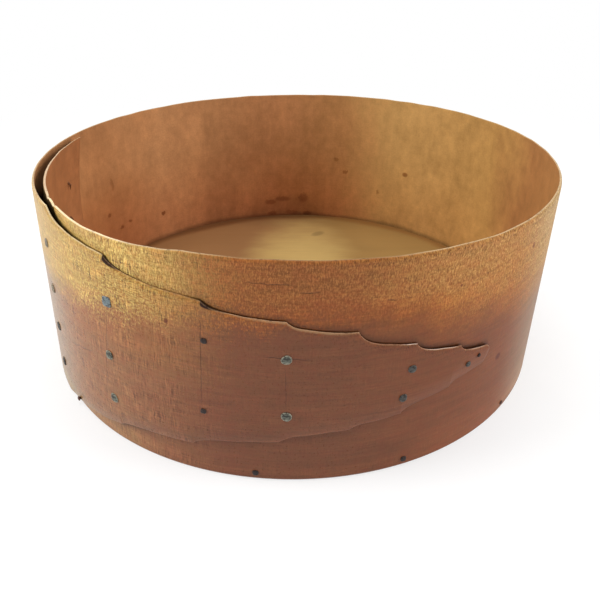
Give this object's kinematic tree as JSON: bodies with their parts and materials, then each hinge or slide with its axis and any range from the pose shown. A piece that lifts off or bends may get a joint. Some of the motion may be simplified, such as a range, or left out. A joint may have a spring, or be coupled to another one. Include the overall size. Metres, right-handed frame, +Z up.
{
  "type": "round bentwood pantry box",
  "caption": "Open round bentwood box: a thin board bent into a hoop and lapped in a long scalloped finger, tacked through, with a flat wooden bottom held by brads.",
  "frame": {"origin": "centre of the bottom board's underside, on the plane the box stands on", "axes": "+Z up, out of the open mouth; -Y to the front, where the finger of the lap lies; +X to the right as seen from the front"},
  "size_m": [0.2537, 0.2528, 0.0949],
  "materials": {
    "bentwood": "worn, waxed, golden where a lid once covered it",
    "board_wood": "bare, dry",
    "tack": "dull, worn iron grey",
    "brad": "dark, rusted"
  },
  "bodies": {
    "root": {"side_band": "bentwood", "bottom_board": "board_wood", "end_tack_1": "tack", "end_tack_2": "tack", "end_tack_3": "tack", "end_tack_4": "tack", "side_tack_1": "tack", "side_tack_2": "tack", "side_tack_3": "tack", "side_tack_4": "tack", "shoulder_tack_1": "tack", "shoulder_tack_2": "tack", "shoulder_tack_3": "tack", "middle_brad_1": "brad", "middle_brad_2": "brad", "front_tack_1": "tack", "front_tack_2": "tack", "finger_tack_1": "tack", "finger_tack_2": "tack", "tip_tack_1": "tack", "tip_brad_1": "brad", "bottom_brad_1": "brad", "bottom_brad_2": "brad", "bottom_brad_3": "brad", "bottom_brad_4": "brad", "bottom_brad_5": "brad", "bottom_brad_6": "brad", "bottom_brad_7": "brad", "bottom_brad_8": "brad", "bottom_brad_9": "brad", "bottom_brad_10": "brad", "bottom_brad_11": "brad", "bottom_brad_12": "brad"}
  },
  "joints": []
}
